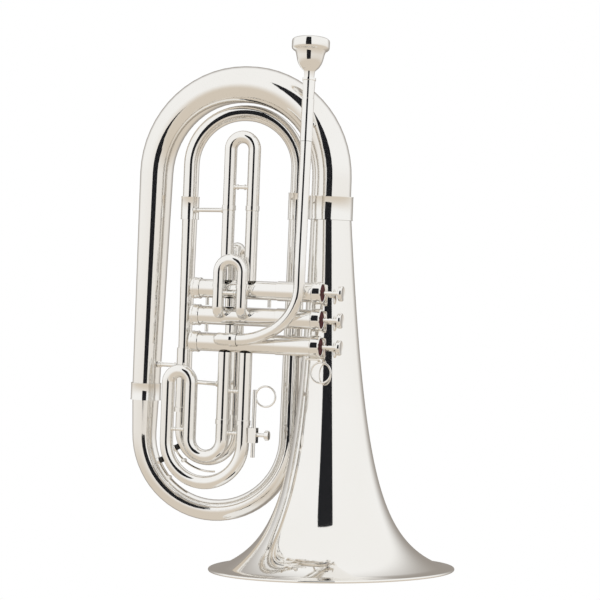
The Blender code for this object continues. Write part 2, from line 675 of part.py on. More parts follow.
def build_leadpipe(wrap):
    """The receiver, the leadpipe, its ferrule, and the elbow into valve 3."""
    down = (LEAD_KNEE - LEAD_TOP).normalized()
    joint = LEAD_TOP + down * ((LEAD_TOP.z - RECEIVER_SPAN[0]) / -down.z)
    line = route([joint, LEAD_KNEE, (LEAD_KNEE.x, LEAD_KNEE.y, LEAD_CORNER_HEIGHT), LEAD_LOW,
                  (LEAD_END_X, LEAD_LOW.y, LEAD_LOW.z)], [60 * MM, LEAD_BEND, LEAD_LOW_BEND])
    piece("leadpipe", tube(line, LEAD_RADIUS, LEAD_BORE, 10), wrap)
    length = (RECEIVER_SPAN[1] - RECEIVER_SPAN[0]) / -down.z
    collar = (105 * MM - RECEIVER_SPAN[0]) / -down.z
    outline = [(LEAD_RADIUS + 0.3 * MM, GAP), (LEAD_RADIUS + 0.3 * MM, collar), (6.0 * MM, collar + 0.6 * MM),
               (6.5 * MM, length - 6 * MM), (6.5 * MM, length - 3 * MM), (7.15 * MM, length - 2.5 * MM),
               (7.15 * MM, length), (RECEIVER_BORE, length), (RECEIVER_BORE, GAP)]
    piece("mouthpiece_receiver", lathe(outline, joint, -down, 16), wrap)
    start = Vector((LEAD_FERRULE[0], LEAD_LOW.y, LEAD_LOW.z))
    ferrule = sleeve(start, ALONG_VALVE, LEAD_FERRULE[1] - LEAD_FERRULE[0], ELBOW_RADIUS + 0.9 * MM,
                     ELBOW_RADIUS + GAP, 14)
    piece("leadpipe_ferrule", ferrule, wrap)
    elbow_line = route([(LEAD_END_X - 3 * GAP, LEAD_LOW.y, LEAD_LOW.z), (ELBOW_X, LEAD_LOW.y, LEAD_LOW.z),
                        (ELBOW_X, VALVE_Y - CASING_RADIUS + 4 * MM, LEAD_LOW.z)], [7 * MM])
    elbow = piece("leadpipe_elbow", tube(elbow_line, ELBOW_RADIUS, LEAD_BORE, 10), wrap)
    cut(elbow, casing_cutter(VALVE_HEIGHTS[2]), wrap)
    build_mouthpiece(joint, down, wrap)


def build_mouthpiece(joint, down, wrap):
    """The cup mouthpiece, whose shank stands in the receiver."""
    def along(height):
        return (height - RECEIVER_SPAN[0]) / -down.z

    top = along(MOUTHPIECE_TOP)
    outline = [(4.6 * MM, along(MOUTHPIECE_FOOT)), (5.1 * MM, along(127 * MM)), (5.6 * MM, along(134 * MM)),
               (7.9 * MM, along(137 * MM)), (11.8 * MM, along(142 * MM)), (13.7 * MM, along(147 * MM)),
               (15.2 * MM, along(153.5 * MM)), (16.4 * MM, along(157 * MM)), (19.2 * MM, along(158 * MM)),
               (20 * MM, along(160 * MM)), (20 * MM, top - 3 * MM), (18.6 * MM, top - 0.6 * MM),
               (16 * MM, top), (13.6 * MM, top - 0.8 * MM), (12.6 * MM, top - 3 * MM),
               (11.5 * MM, along(153 * MM)), (8 * MM, along(145 * MM)), (3.4 * MM, along(139 * MM)),
               (3.2 * MM, along(133 * MM)), (4.0 * MM, along(MOUTHPIECE_FOOT))]
    axis = joint - down * along(127 * MM)
    body = empty("mouthpiece_body", axis, wrap)
    piece("mouthpiece", lathe(outline, joint, -down, 16), body)


def build_braces(wrap):
    """The stays between the tubes."""
    def stay(name, start, end, radius=2.2 * MM):
        start = Vector(start)
        end = Vector(end)
        along = (end - start).normalized()
        made = piece(name, rod(start, end, radius, 8), wrap)
        flange = 1.2 * MM
        for base, direction in ((start, along), (end, -along)):
            fuse(made, rod(base, base + direction * flange, radius * 1.6, 8), wrap)
        return made

    def between(name, first, second, radii, height, radius=2.2 * MM):
        start = Vector((*first, height))
        end = Vector((*second, height))
        along = (end - start).normalized()
        stay(name, start + along * (radii[0] + GAP), end - along * (radii[1] + GAP), radius)

    between("stay_inner_leg_first_slide", (INNER_LEG_X, TUNING_Y), (FIRST_X[0], FIRST_Y),
            (INNER_LEG_RADII[0] + 1.5 * MM, FIRST_RADIUS), -14 * MM)
    between("stay_big_tube_inner_leg", (BIG_TUBE_LOW_X, BIG_TUBE_Y), (INNER_LEG_X, TUNING_Y),
            (15.6 * MM, TUNING_SLEEVE[0]), -182.5 * MM)
    between("stay_inner_leg_third_slide", (INNER_LEG_X, TUNING_Y), (THIRD_X[2], VALVE_Y),
            (TUNING_SLEEVE[0], THIRD_RADIUS), -198.5 * MM)
    between("stay_valves_riser", (RISER_X - 2 * MM, VALVE_Y), (RISER_X, RISER_Y),
            (CASING_TOP_RADIUS, 10.2 * MM), VALVE_HEIGHTS[1], 2.8 * MM)
    between("stay_riser_bell", (RISER_X, RISER_Y), (6.6 * MM, 0), (10.2 * MM, 32.2 * MM), -165 * MM)
    stay("stay_leadpipe_top_bow", (-17.5 * MM, -34.0 * MM, 80 * MM), (-17.5 * MM, -20.9 * MM, 80 * MM), 2.0 * MM)
    ring = piece("fixed_finger_ring", torus(FIXED_RING, RING_RADIUS, RING_WIRE), wrap)
    post_top = Vector((FIXED_RING.x - 17 * MM, VALVE_Y, VALVE_HEIGHTS[2] - CASING_TOP_RADIUS - GAP))
    knee = Vector((FIXED_RING.x - 17 * MM, VALVE_Y, FIXED_RING.z + RING_RADIUS + 3 * MM))
    foot = Vector((FIXED_RING.x, VALVE_Y, FIXED_RING.z + RING_RADIUS + 3 * MM))
    drop = Vector((FIXED_RING.x, VALVE_Y, FIXED_RING.z + RING_RADIUS))
    fuse(ring, tube(route([post_top, knee, foot, drop], [1 * MM, 2 * MM]), 1.2 * MM, sides=8), wrap)


def build_water_key(name, centre, bend, tube_radius, angles, slide_body, wrap):
    """A spit valve on the outside of a bow: a lever with a cork on a cup, on a pivot tube."""
    cork_angle, pivot_angle, end_angle = (math.radians(a) for a in angles)

    def at(turn, reach):
        return centre + Vector((math.cos(turn), 0, math.sin(turn))) * reach

    skin = bend + tube_radius
    height = 5 * MM
    reach = skin + height
    pivot = at(pivot_angle, reach)
    body = empty(f"{name}_body", pivot - slide_body.location, slide_body)
    offset = -slide_body.location
    steps = 8
    points = [at(cork_angle + (end_angle - cork_angle) * i / steps,
                 reach + (1.5 * MM if i == steps else 0)) for i in range(steps + 1)]
    line = [(points[0], (points[1] - points[0]).normalized())]
    line += [(p, (q - o).normalized()) for o, p, q in zip(points, points[1:], points[2:])]
    line.append((points[-1], (points[-1] - points[-2]).normalized()))
    lever = tube(line, 1.2 * MM, sides=8)
    bmesh.ops.translate(lever, vec=offset, verts=lever.verts)
    made = piece(f"{name}_lever", lever, body)
    barrel = rod(pivot - AWAY * 4 * MM, pivot + AWAY * 4 * MM, 2.0 * MM, 12)
    fuse(made, barrel, wrap)
    fuse(made, rod(at(cork_angle, reach - 1 * MM), at(cork_angle, reach + 1.6 * MM), 3.6 * MM, 16), wrap)
    cork = rod(at(cork_angle, skin + GAP), at(cork_angle, reach - 1.4 * MM - GAP), 3.1 * MM, 16)
    bmesh.ops.translate(cork, vec=offset, verts=cork.verts)
    piece(f"{name}_cork", cork, body, BLACK, 0.6, 0.0)


def main():
    """Build the whole instrument."""
    clear_scene()
    stand = empty("bell_axis", Vector((BELL_X, 0, 0)))
    wrap = empty("wrap", Vector((0, 0, FERRULE_HEIGHT)), stand)
    wrap.rotation_euler = (0, LEAN, 0)
    build_bell(stand)
    build_main_bore(wrap)
    build_tuning_sleeves(wrap)
    build_valves(wrap)
    build_first_slide(wrap)
    build_second_slide(wrap)
    build_third_slide(wrap)
    build_tuning_slide(wrap)
    build_leadpipe(wrap)
    build_braces(wrap)
    tuning_middle = (INNER_LEG_X + TUNING_RIGHT_X) / 2
    tuning_bend = (TUNING_RIGHT_X - INNER_LEG_X) / 2
    build_water_key("tuning_water_key", Vector((tuning_middle, TUNING_Y, TUNING_BOTTOM + tuning_bend)),
                    tuning_bend, TUNING_RADIUS, (209, 232, 283),
                    bpy.data.objects["tuning_slide_body"], wrap)
    third_middle = (THIRD_X[0] + THIRD_X[3]) / 2
    third_bend = (THIRD_X[3] - THIRD_X[0]) / 2
    build_water_key("third_water_key", Vector((third_middle, VALVE_Y, THIRD_BOTTOM + third_bend)),
                    third_bend, THIRD_RADIUS, (204, 226, 253),
                    bpy.data.objects["third_slide_body"], wrap)


main()
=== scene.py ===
"""The looks of a silver-plated marching baritone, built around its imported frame.

Lengths are in metres, or in millimetres where the text says so. Points in wrap coordinates run along
the valves (x), away from the slides (y) and up the tubes (z), in a frame that leans slightly over the
bell.
"""
from __future__ import annotations

import json
import logging
import math
from dataclasses import dataclass
from enum import Enum
from typing import Sequence

import bpy
from mathutils import Matrix, Vector

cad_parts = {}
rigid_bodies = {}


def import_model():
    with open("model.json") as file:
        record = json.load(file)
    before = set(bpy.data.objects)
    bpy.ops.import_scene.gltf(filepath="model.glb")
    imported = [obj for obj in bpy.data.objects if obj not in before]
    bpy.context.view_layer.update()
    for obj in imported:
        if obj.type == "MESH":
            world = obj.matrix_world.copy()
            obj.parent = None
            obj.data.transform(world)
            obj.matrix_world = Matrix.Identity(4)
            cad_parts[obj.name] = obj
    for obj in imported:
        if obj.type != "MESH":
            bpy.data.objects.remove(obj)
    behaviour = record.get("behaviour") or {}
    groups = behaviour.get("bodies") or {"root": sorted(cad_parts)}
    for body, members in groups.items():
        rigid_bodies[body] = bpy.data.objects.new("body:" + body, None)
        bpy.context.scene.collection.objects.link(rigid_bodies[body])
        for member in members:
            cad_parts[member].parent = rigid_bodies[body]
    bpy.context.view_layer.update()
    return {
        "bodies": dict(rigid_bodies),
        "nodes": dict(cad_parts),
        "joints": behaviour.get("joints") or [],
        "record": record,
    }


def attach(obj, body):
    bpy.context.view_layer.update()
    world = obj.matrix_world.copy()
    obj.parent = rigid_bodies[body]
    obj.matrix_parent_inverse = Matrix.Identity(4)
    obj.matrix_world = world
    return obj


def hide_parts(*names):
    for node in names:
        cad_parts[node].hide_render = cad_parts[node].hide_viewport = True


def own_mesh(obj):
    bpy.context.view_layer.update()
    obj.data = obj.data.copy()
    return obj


log = logging.getLogger("baritone")

MM = 0.001
BELL_X = 49.2 * MM
FERRULE_HEIGHT = 392 * MM
LEAN = math.radians(2.3)
STEP_EDGE = 0.02 * MM
DOUBLES = 0.001 * MM
SMOOTH_ANGLE = math.radians(32)
BEND_STEP = math.radians(6)
FEWEST_BEND_STEPS = 2

WRAP = Matrix.Translation((BELL_X, 0, FERRULE_HEIGHT)) @ Matrix.Rotation(LEAN, 4, "Y")
STAND = Matrix.Translation((BELL_X, 0, 0))
UPRIGHT = Matrix.Rotation(math.pi / 2, 4, "X")
UP = Vector((0, 0, 1))
VALVEWARD = Vector((1, 0, 0))

# Where the tubes run, in wrap millimetres: (x, depth) of one tube, or the x of a slide's two legs
FRONT = -43.5
BIG_TUBE = (-203.9, 7)
RISER = (-41.8, 17)
INNER_LEG = (-155.5, -8)
TUNING_LEGS, TUNING_DEPTH = (-155.5, -96.5), -8
FIRST_LEGS, FIRST_DEPTH = (-98.2, -72), -47
SECOND_LEGS, SECOND_DEPTH = (-101.3, -75.5), -61.8
THIRD_LEGS = (-97.4, -74.6)
LEAD_DEPTH, LEAD_LOW = -61, -150
PLAY = 0.3

# Sockets of a Mix node that is set to colours, and the white of the photograph's background
MIX_SHARE, MIX_FIRST, MIX_SECOND, MIX_RESULT = 0, 6, 7, 2
PURE_WHITE = (1, 1, 1, 1)


class Slot(Enum):
    """The record's material slots."""

    SILVER = "silver"
    FELT = "felt"
    CORK = "cork"
    STEEL = "steel"


class Mouth(Enum):
    """The end of a sleeve that has the ring."""

    HIGH = "high"
    LOW = "low"


class Value:
    """A shader socket that takes part in Python arithmetic."""

    def __init__(self, graph: "Graph", socket: bpy.types.NodeSocket) -> None:
        """Wrap one output socket of a graph."""
        self.graph = graph
        self.socket = socket

    def _math(self, operation: str, other: object) -> "Value":
        """A Math node on this value and another, or a number."""
        node = self.graph.node("ShaderNodeMath", {"operation": operation}, {0: self, 1: other})
        return Value(self.graph, node.outputs[0])

    def __add__(self, other: object) -> "Value":
        """self + other."""
        return self._math("ADD", other)

    def __mul__(self, other: object) -> "Value":
        """self * other."""
        return self._math("MULTIPLY", other)

    __radd__ = __add__
    __rmul__ = __mul__


class Graph:
    """A node tree of a material or of the world."""

    def __init__(self, tree: bpy.types.NodeTree) -> None:
        """Take a tree to add nodes to."""
        self.tree = tree

    def node(self, kind: str, settings: dict, inputs: dict) -> bpy.types.Node:
        """Add a node.

        Args:
            kind: The node's type.
            settings: Its properties, set first.
            inputs: Values or links of its sockets.

        Returns:
            The node.
        """
        made = self.tree.nodes.new(kind)
        for key, value in settings.items():
            setattr(made, key, value)
        for key, value in inputs.items():
            self.feed(made.inputs[key], value)
        return made

    def feed(self, socket: bpy.types.NodeSocket, value: object) -> None:
        """Link a value to a socket, or set a plain number or colour."""
        if isinstance(value, Value):
            self.tree.links.new(value.socket, socket)
        else:
            socket.default_value = value

    def blend(self, share: Value, first: object, second: object) -> Value:
        """A mix of two colours by a share."""
        inputs = {MIX_SHARE: share, MIX_FIRST: first, MIX_SECOND: second}
        return Value(self, self.node("ShaderNodeMix", {"data_type": "RGBA"}, inputs).outputs[MIX_RESULT])


class Finish(Graph):
    """The node tree of one material, with a Principled shader."""

    def __init__(self, name: str) -> None:
        """Start a material.

        Args:
            name: The material's name.
        """
        self.material = bpy.data.materials.new(name)
        self.material.use_nodes = True
        super().__init__(self.material.node_tree)
        self.shader = self.tree.nodes["Principled BSDF"]
        self.place = Value(self, self.node("ShaderNodeTexCoord", {}, {}).outputs["Object"])

    def set(self, socket: str, value: object) -> None:
        """Feed one input of the shader."""
        self.feed(self.shader.inputs[socket], value)

    def noise(self, scale: float, detail: float = 3.0) -> Value:
        """Noise on Object coordinates, from 0 to 1."""
        node = self.node("ShaderNodeTexNoise", {}, {"Vector": self.place, "Scale": scale, "Detail": detail})
        return Value(self, node.outputs["Fac"])

    def relief(self, height: Value, strength: float, distance: float) -> None:
        """Feed a bump to the shader's normal."""
        node = self.node("ShaderNodeBump", {}, {"Height": height, "Strength": strength, "Distance": distance})
        self.set("Normal", Value(self, node.outputs["Normal"]))


@dataclass(frozen=True)
class SilverPlate:
    """Polished silver plate with faint handling haze."""

    clean: tuple = (0.93, 0.92, 0.905, 1)
    warm: tuple = (0.88, 0.86, 0.82, 1)
    roughness: float = 0.045
    haze: float = 0.035
    cloud_scale: float = 9.0
    smear_scale: float = 70.0
    smear_detail: float = 5.0

    def build(self) -> bpy.types.Material:
        """Make the material."""
        finish = Finish("silver_plate")
        cloud = finish.noise(self.cloud_scale)
        smear = finish.noise(self.smear_scale, self.smear_detail)
        finish.set("Base Color", finish.blend(cloud, self.clean, self.warm))
        finish.set("Roughness", self.roughness + self.haze * (cloud * smear))
        finish.set("Metallic", 1.0)
        return finish.material


@dataclass(frozen=True)
class WoolFelt:
    """Dark maroon felt with short fibres."""

    deep: tuple = (0.05, 0.010, 0.012, 1)
    lit: tuple = (0.13, 0.03, 0.035, 1)
    roughness: float = 0.95
    fibre_scale: float = 1800.0
    fibre_detail: float = 6.0
    relief: float = 0.6
    depth: float = 0.3 * MM

    def build(self) -> bpy.types.Material:
        """Make the material."""
        finish = Finish("wool_felt")
        fibres = finish.noise(self.fibre_scale, self.fibre_detail)
        finish.set("Base Color", finish.blend(fibres, self.deep, self.lit))
        finish.set("Roughness", self.roughness)
        finish.relief(fibres, self.relief, self.depth)
        return finish.material


@dataclass(frozen=True)
class BlackCork:
    """The black pad under a water key."""

    deep: tuple = (0.008, 0.008, 0.008, 1)
    lit: tuple = (0.035, 0.033, 0.030, 1)
    roughness: float = 0.7
    spread: float = 0.2
    grain_scale: float = 900.0
    grain_detail: float = 4.0
    relief: float = 0.4
    depth: float = 0.2 * MM

    def build(self) -> bpy.types.Material:
        """Make the material."""
        finish = Finish("black_cork")
        grain = finish.noise(self.grain_scale, self.grain_detail)
        finish.set("Base Color", finish.blend(grain, self.deep, self.lit))
        finish.set("Roughness", self.roughness + self.spread * grain)
        finish.relief(grain, self.relief, self.depth)
        return finish.material


@dataclass(frozen=True)
class SpringSteel:
    """The steel of the return springs."""

    colour: tuple = (0.55, 0.55, 0.56, 1)
    shade: tuple = (0.40, 0.40, 0.42, 1)
    roughness: float = 0.25
    spread: float = 0.15
    streak_scale: float = 300.0

    def build(self) -> bpy.types.Material:
        """Make the material."""
        finish = Finish("spring_steel")
        streak = finish.noise(self.streak_scale)
        finish.set("Base Color", finish.blend(streak, self.colour, self.shade))
        finish.set("Roughness", self.roughness + self.spread * streak)
        finish.set("Metallic", 1.0)
        return finish.material


@dataclass(frozen=True)
class Taper:
    """A tube's outer radius from one end to the other, in millimetres."""

    start: float
    end: float
    power: float = 1.0

    def at(self, length: float, total: float) -> float:
        """The radius at a length along a tube, both in metres."""
        return self.start + (self.end - self.start) * (length / total) ** self.power


@dataclass(frozen=True)
class Stepped:
    """The outer radius of a slide's bow and of the two legs that end it, in millimetres."""

    bow: float
    leg: float
    leg_length: float

    def at(self, length: float, total: float) -> float:
        """The radius at a length along a tube, both in metres."""
        reach = self.leg_length * MM
        return self.leg if length < reach or length > total - reach else self.bow


def even(radius: float) -> Taper:
    """A tube's radius that stays the same."""
    return Taper(radius, radius)


def pick(piece: bpy.types.Object) -> None:
    """Select one object and nothing else, and make it active."""
    bpy.ops.object.select_all(action="DESELECT")
    piece.select_set(True)
    bpy.context.view_layer.objects.active = piece


class Bench:
    """Where pieces are modelled, dressed and set on their bodies."""

    flange_height = 0.7
    collar = ((1.12, 1.2), (1.12, 2.6), (1.45, 2.9), (1.45, 3.9), (1.0, 4.2))
    rod_sides = 24

    def __init__(self, frame: dict) -> None:
        """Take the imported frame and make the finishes.
        """
        self.nodes: dict = frame["nodes"]
        self.body_of = {node: body for body, members in frame["record"]["behaviour"]["bodies"].items()
                        for node in members}
        self.slot_of = {row["node"]: Slot(row["material_slot"]) for row in frame["record"]["subparts"]}
        self.finishes = {Slot.SILVER: SilverPlate().build(), Slot.FELT: WoolFelt().build(),
                         Slot.CORK: BlackCork().build(), Slot.STEEL: SpringSteel().build()}

    def dress_frame(self) -> None:
        """Give every CAD node the finish of its slot."""
        for name, node in self.nodes.items():
            node.data.materials.clear()
            node.data.materials.append(self.finishes[self.slot_of[name]])

    def seat(self, piece: bpy.types.Object, node: str) -> None:
        """Dress a piece, make it ride where a CAD node rides, and hide the node.

        Args:
            piece: The finished object, in place.
            node: The CAD node that it stands for.
        """
        slot = self.slot_of[node]
        piece.data.materials.clear()
        piece.data.materials.append(self.finishes[slot])
        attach(piece, self.body_of[node])
        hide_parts(node)
        log.info("%s rides on %s", piece.name, self.body_of[node])

    @staticmethod
    def settle(piece: bpy.types.Object, place: Matrix) -> bpy.types.Object:
        """Put a piece's place into its mesh, close its doubles and smooth it.

        Args:
            piece: The object, modelled in its own coordinates.
            place: From those coordinates to the frame's.

        Returns:
            The same object.
        """
        pick(piece)
        piece.matrix_world = place
        bpy.ops.object.transform_apply(location=True, rotation=True, scale=True)
        bpy.ops.object.mode_set(mode="EDIT")
        bpy.ops.mesh.select_all(action="SELECT")
        bpy.ops.mesh.remove_doubles(threshold=DOUBLES)
        bpy.ops.mesh.normals_make_consistent(inside=False)
        bpy.ops.object.mode_set(mode="OBJECT")
        bpy.ops.object.shade_smooth_by_angle(angle=SMOOTH_ANGLE)
        return piece

    def turned(self, name: str, outline: Sequence, base: Sequence, direction: Vector, sides: int = 64,
               place: Matrix = WRAP) -> bpy.types.Object:
        """A lathe-turned piece.

        Args:
            name: The piece's name.
            outline: A closed outline of (radius, height) in millimetres.
            base: The point at height 0, in millimetres.
            direction: The axis.
            sides: Steps of the spin.
            place: From the given coordinates to the frame's.

        Returns:
            The finished object.
        """
        direction = direction.normalized()
        side = direction.orthogonal().normalized()
        foot = Vector(base) * MM
        rings = [(radius * MM, height * MM) for radius, height in outline]
        points = [foot + direction * height + side * radius for radius, height in rings]
        edges = [(i, (i + 1) % len(points)) for i in range(len(points))]
        edges = [(a, b) for a, b in edges if rings[a][0] > STEP_EDGE or rings[b][0] > STEP_EDGE]
        mesh = bpy.data.meshes.new(name)
        mesh.from_pydata(points, edges, [])
        piece = bpy.data.objects.new(name, mesh)
        bpy.context.scene.collection.objects.link(piece)
        pick(piece)
        bpy.ops.object.mode_set(mode="EDIT")
        bpy.ops.mesh.select_all(action="SELECT")
        bpy.ops.mesh.spin(steps=sides, angle=2 * math.pi, center=foot, axis=direction)
        bpy.ops.object.mode_set(mode="OBJECT")
        return self.settle(piece, place)

    def pipe(self, name: str, corners: Sequence, bends: Sequence, radii: Taper | Stepped,
             sides: int = 40) -> bpy.types.Object:
        """A drawn tube along a bent route.

        Args:
            name: The piece's name.
            corners: Corner points in wrap millimetres.
            bends: The bend radius at each inner corner in millimetres; 0 on a straight run.
            radii: The tube's outer radius along its length.
            sides: Faces around the tube.

        Returns:
            The finished object.
        """
        line = route([Vector(c) * MM for c in corners], [b * MM for b in bends])
        reach = [0.0]
        for a, b in zip(line, line[1:]):
            reach.append(reach[-1] + (b - a).length)
        curve = bpy.data.curves.new(name, "CURVE")
        curve.dimensions = "3D"
        curve.bevel_depth = 1.0
        curve.bevel_resolution = sides // 4 - 1
        curve.use_fill_caps = True
        curve.twist_mode = "MINIMUM"
        spline = curve.splines.new("POLY")
        spline.points.add(len(line) - 1)
        for spot, point, length in zip(spline.points, line, reach):
            spot.co = (*point, 1)
            spot.radius = radii.at(length, reach[-1]) * MM
        piece = bpy.data.objects.new(name, curve)
        bpy.context.scene.collection.objects.link(piece)
        pick(piece)
        bpy.ops.object.convert(target="MESH")
        return self.settle(bpy.context.view_layer.objects.active, WRAP)

    def joined(self, name: str, pieces: Sequence[bpy.types.Object]) -> bpy.types.Object:
        """Several finished pieces made one object.

        Args:
            name: The name of the whole.
            pieces: Its members.

        Returns:
            The whole.
        """
        pick(pieces[0])
        for piece in pieces:
            piece.select_set(True)
        bpy.ops.object.join()
        pieces[0].name = name
        return pieces[0]

    def rod(self, name: str, start: Sequence, end: Sequence, radius: float,
            flange: float = 0.0) -> bpy.types.Object:
        """A round bar between two points, with a turned foot at each end, in wrap millimetres.

        Args:
            name: The piece's name.
            start: One end.
            end: The other end.
            radius: The bar's radius.
            flange: The radius of the feet, or 0 for none.

        Returns:
            The finished object.
        """
        first, last = Vector(start), Vector(end)
        length = (last - first).length
        outline = [(0, 0), (radius, 0), (radius, length), (0, length)]
        if flange:
            half = [(0, 0), (flange, 0), (flange, self.flange_height)]
            half += [(radius * share, height) for share, height in self.collar]
            outline = half + [(r, length - h) for r, h in reversed(half)]
        return self.turned(name, outline, first, last - first, self.rod_sides)

    def crossbar(self, name: str, span: Sequence, depth: float, height: float, radius: float,
                 flange: float) -> bpy.types.Object:
        """A footed rod that runs along the valves, in wrap millimetres.

        Args:
            name: The piece's name.
            span: The x of its two ends.
            depth: Its y.
            height: Its z.
            radius: Its radius.
            flange: The radius of its feet.

        Returns:
            The finished object.
        """
        start, end = ((x, depth, height) for x in span)
        return self.rod(name, start, end, radius, flange)


def route(corners: Sequence[Vector], bends: Sequence[float]) -> list[Vector]:
    """The centre line through corner points, each corner rounded to its bend radius.

    Args:
        corners: The corner points.
        bends: A radius for each inner corner.

    Returns:
        The points of the line.
    """
    line = [corners[0]]
    for before, corner, after, bend in zip(corners, corners[1:], corners[2:], bends):
        into = (corner - before).normalized()
        out = (after - corner).normalized()
        if not bend:
            line += [corner - into * STEP_EDGE, corner + into * STEP_EDGE]
            continue
        turn = into.angle(out)
        start = corner - into * bend * math.tan(turn / 2)
        axis = into.cross(out).normalized()
        centre = start + axis.cross(into) * bend
        count = max(FEWEST_BEND_STEPS, math.ceil(turn / BEND_STEP))
        line += [centre + Matrix.Rotation(turn * i / count, 3, axis) @ (start - centre)
                 for i in range(count + 1)]
    line.append(corners[-1])
    return line


def hairpin(legs: Sequence, depth: float, heights: Sequence) -> list[tuple]:
    """Corners along one leg and back along the other, in wrap millimetres.

    Args:
        legs: The x of the two legs.
        depth: Their y.
        heights: From the open end to the bow.

    Returns:
        The corner points.
    """
    left, right = legs
    return [(left, depth, z) for z in heights] + [(right, depth, z) for z in reversed(heights)]


@dataclass
class Bell:
    """The bell, in millimetres from the centre of its rim."""

    rim: float = 129.4
    bead: float = 1.5
    curl: float = 2.2
    wall: float = 0.9
    length: float = 384.5
    start: float = 25
    power: float = 0.58
    trim: float = 1.1
    slope: float = 0.0095
    rings: int = 60
    sides: int = 160
    bead_step: int = 15

    def flare(self, height: float) -> float:
        """The outer radius at a height above the rim."""
        scale = (self.start / (height + self.start)) ** self.power
        return (self.rim + self.trim) * scale - self.trim - self.slope * height

    def build(self, bench: Bench) -> None:
        """Model and seat the bell."""
        heights = [self.length * (i / self.rings) ** 2 for i in range(1, self.rings + 1)]
        heights = [h for h in heights if h > self.curl * self.bead]
        outside = [(self.flare(h), h) for h in heights]
        inside = [(self.flare(h) - self.wall, h) for h in reversed(heights)]
        arc = [(self.rim + self.bead * math.cos(t), self.bead + self.bead * math.sin(t))
               for t in (math.radians(a) for a in range(-90, 91, self.bead_step))]
        foot = [(self.rim - self.curl * self.bead, self.bead), (self.rim - self.bead, 0)]
        outline = arc + outside + inside + foot
        bench.seat(bench.turned("bell_shell", outline, (0, 0, 0), UP, self.sides, STAND), "bell")


@dataclass(frozen=True)
class Run:
    """One bent tube of the bore, as Bench.pipe takes it."""

    node: str
    corners: tuple
    bends: tuple
    radii: Taper
    sides: int = 40


@dataclass
class Wrap:
    """The bent tubes of the main bore, their ferrules and the leadpipe, in wrap millimetres."""

    lead_top: tuple = (-18.4, -37, 112)
    lead_knee: tuple = (-13.3, LEAD_DEPTH, -72)
    receiver_foot: float = 60
    body: float = 0.6
    bead: float = 0.8
    bead_height: float = 1.0
    bead_end: float = 1.4

    def lead_down(self) -> Vector:
        """The direction in which the leadpipe leaves the receiver."""
        return (Vector(self.lead_knee) - Vector(self.lead_top)).normalized()

    def lead_joint(self) -> Vector:
        """Where the receiver meets the leadpipe."""
        top = Vector(self.lead_top)
        return top + self.lead_down() * ((top.z - self.receiver_foot) / -self.lead_down().z)

    def runs(self) -> tuple[Run, ...]:
        """The tubes, in the order of the bore from the bell's tail, and then the leadpipe's."""
        crook_x, crook_top = -99, -54
        return (
            Run("top_bow", ((0, 0, -6.3), (0, 0, 122.6), (-199.6, 7, 122.6), (*BIG_TUBE, -212.3)),
                (99, 99), Taper(21.2, 14.9, 1.3), 64),
            Run("bottom_bow", ((*BIG_TUBE, -212.6), (*BIG_TUBE, -337.7), (*RISER, -337.7), (*RISER, -6.5)),
                (80.8, 80.8), Taper(14.7, 9.1, 0.5), 56),
            Run("inner_bow", ((*RISER, -6.2), (*RISER, 92), (*INNER_LEG, 92), (*INNER_LEG, -12)),
                (57.5, 57.5), Taper(8.7, 8.3), 48),
            Run("inner_leg", ((*INNER_LEG, -12.3), (*INNER_LEG, -172)), (), Taper(8.2, 6.95)),
            Run("exit_crook", ((crook_x, -34, -97.5), (crook_x, -22, -97.5), (crook_x, -22, crook_top),
                               (TUNING_LEGS[1], TUNING_DEPTH, crook_top),
                               (TUNING_LEGS[1], TUNING_DEPTH, -180)), (7.2, 7.05, 7.05), even(6.6)),
            Run("leadpipe", (tuple(self.lead_joint()), self.lead_knee, (-13.3, LEAD_DEPTH, -126.1),
                             (-63.5, LEAD_DEPTH, LEAD_LOW), (-80.6, LEAD_DEPTH, LEAD_LOW)),
                (60, 55, 72), even(6.15)),
            Run("leadpipe_elbow", ((-81.5, LEAD_DEPTH, LEAD_LOW), (-101, LEAD_DEPTH, LEAD_LOW),
                                   (-101, -53, LEAD_LOW)), (7,), even(6.5)),
        )

    def build(self, bench: Bench) -> None:
        """Model and seat the tubes and their ferrules."""
        for run in self.runs():
            tube = bench.pipe(f"{run.node}_tube", run.corners, run.bends, run.radii, run.sides)
            bench.seat(tube, run.node)
        for node, base, direction, length, inner in (
                ("bell_ferrule", (0, 0, -20), UP, 25, 23.0),
                ("left_ferrule", (*BIG_TUBE, -222), UP, 18.5, 15.7),
                ("right_ferrule", (*RISER, -20.7), UP, 29, 9.8),
                ("inner_ferrule", (*INNER_LEG, -24.3), UP, 24.5, 9.1),
                ("leadpipe_ferrule", (-86.5, LEAD_DEPTH, LEAD_LOW), VALVEWARD, 7.5, 6.8)):
            ring = bench.turned(f"{node}_ring", self.ferrule(length, inner), base, direction)
            bench.seat(ring, node)

    def ferrule(self, length: float, inner: float) -> list[tuple]:
        """The outline of a sleeve with a small bead at each end.

        Args:
            length: Its length.
            inner: Its bore radius.

        Returns:
            Points of (radius, height).
        """
        body, bead = inner + self.body, inner + self.bead
        half = [(inner, 0), (bead, 0), (bead, self.bead_height), (body, self.bead_end)]
        return half + [(r, length - h) for r, h in reversed(half)]


